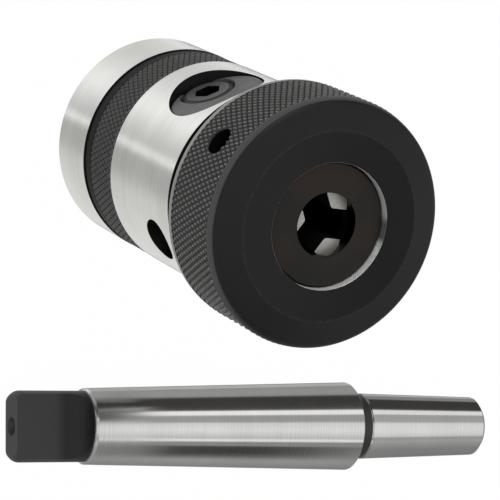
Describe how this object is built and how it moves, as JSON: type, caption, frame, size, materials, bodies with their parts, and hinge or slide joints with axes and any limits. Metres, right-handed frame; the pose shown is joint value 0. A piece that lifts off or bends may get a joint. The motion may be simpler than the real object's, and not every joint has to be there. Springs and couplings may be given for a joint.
{
  "type": "tapping head",
  "caption": "Tapping head with an overload clutch, jaws that centre the tap's shank, jaws that grip its square, and a loose taper arbor that carries it.",
  "frame": {"origin": "centre of the taper socket's mouth, in the plane of the rear face", "axes": "+Z along the head's axis, out of the nose; -Y towards the window with the clamp screw; +X to the right as seen from that window"},
  "size_m": [0.1325, 0.1514, 0.0962],
  "materials": {
    "ground_steel": "ground, satin",
    "black_steel": "black oxide, satin",
    "machined_steel": "turned",
    "jaw_steel": "hardened and ground",
    "spring_steel": "oiled, blued",
    "friction_lining": "matte",
    "bronze": "turned",
    "arbor_steel": "ground, bright"
  },
  "bodies": {
    "driver": {"drive_hub": "ground_steel", "drive_keys": "machined_steel", "disc_springs": "spring_steel", "pressure_plate": "machined_steel", "friction_disc_rear": "friction_lining", "friction_disc_front": "friction_lining", "hub_bush": "bronze", "clutch_nut": "machined_steel", "clutch_nut_screw": "black_steel"},
    "spring_seat": {"spring_seat": "machined_steel"},
    "torque_ring": {"torque_ring": "black_steel"},
    "spindle": {"clutch_housing": "ground_steel", "chuck_body": "black_steel", "body_lock_screw": "black_steel", "thrust_washer": "machined_steel"},
    "cap": {"front_cap": "black_steel", "jaw_nut_half_1": "machined_steel", "jaw_nut_half_2": "machined_steel"},
    "shank_jaw_1": {"shank_jaw_1": "jaw_steel"},
    "shank_jaw_2": {"shank_jaw_2": "jaw_steel"},
    "shank_jaw_3": {"shank_jaw_3": "jaw_steel"},
    "square_jaw_front": {"square_jaw_front": "black_steel"},
    "square_jaw_rear": {"square_jaw_rear": "black_steel"},
    "clamp_screw": {"clamp_screw": "black_steel"},
    "arbor": {"taper_arbor": "arbor_steel"}
  },
  "joints": [
    {"name": "torque_adjust", "type": "hinge", "parent": "driver", "child": "torque_ring", "pos_m": [0, 0, 0.02395], "axis": [0, 0, 1], "range_deg": [0, 288]},
    {"name": "seat_travel", "type": "slide", "parent": "driver", "child": "spring_seat", "axis": [0, 0, 1], "range_m": [0, 0.00121], "deforming": ["disc_springs"]},
    {"name": "clutch_slip", "type": "hinge", "parent": "driver", "child": "spindle", "pos_m": [0, 0, 0.0321], "axis": [0, 0, 1], "continuous": true},
    {"name": "cap_turn", "type": "hinge", "parent": "spindle", "child": "cap", "pos_m": [0, 0, 0.0826], "axis": [0, 0, 1], "range_deg": [-720, 1782]},
    {"name": "shank_jaw_1_travel", "type": "slide", "parent": "spindle", "child": "shank_jaw_1", "axis": [0, -0.342, 0.9397], "range_m": [-0.00401, 0.00991]},
    {"name": "shank_jaw_2_travel", "type": "slide", "parent": "spindle", "child": "shank_jaw_2", "axis": [0.2962, 0.171, 0.9397], "range_m": [-0.00401, 0.00991]},
    {"name": "shank_jaw_3_travel", "type": "slide", "parent": "spindle", "child": "shank_jaw_3", "axis": [-0.2962, 0.171, 0.9397], "range_m": [-0.00401, 0.00991]},
    {"name": "square_jaw_front_travel", "type": "slide", "parent": "spindle", "child": "square_jaw_front", "axis": [0, 1, 0], "range_m": [-0.00137, 0.00304]},
    {"name": "square_jaw_rear_travel", "type": "slide", "parent": "spindle", "child": "square_jaw_rear", "axis": [0, -1, 0], "range_m": [-0.00138, 0.00305]},
    {"name": "clamp_turn", "type": "hinge", "parent": "square_jaw_front", "child": "clamp_screw", "pos_m": [0, -0.016, 0.0465], "axis": [0, 1, 0], "range_deg": [-793, 1752]},
    {"name": "arbor_lift", "type": "slide", "parent": "driver", "child": "arbor", "axis": [0, 0, 1], "range_m": [0, 0.1]}
  ],
  "couplings": [
    {"joint": "seat_travel", "follows": "torque_adjust", "m_per_rad": 0.00023873},
    {"joint": "shank_jaw_1_travel", "follows": "cap_turn", "m_per_rad": 0.00031831},
    {"joint": "shank_jaw_2_travel", "follows": "cap_turn", "m_per_rad": 0.00031831},
    {"joint": "shank_jaw_3_travel", "follows": "cap_turn", "m_per_rad": 0.00031831},
    {"joint": "square_jaw_rear_travel", "follows": "square_jaw_front_travel", "ratio": 1},
    {"joint": "clamp_turn", "follows": "square_jaw_front_travel", "rad_per_m": 10053}
  ]
}
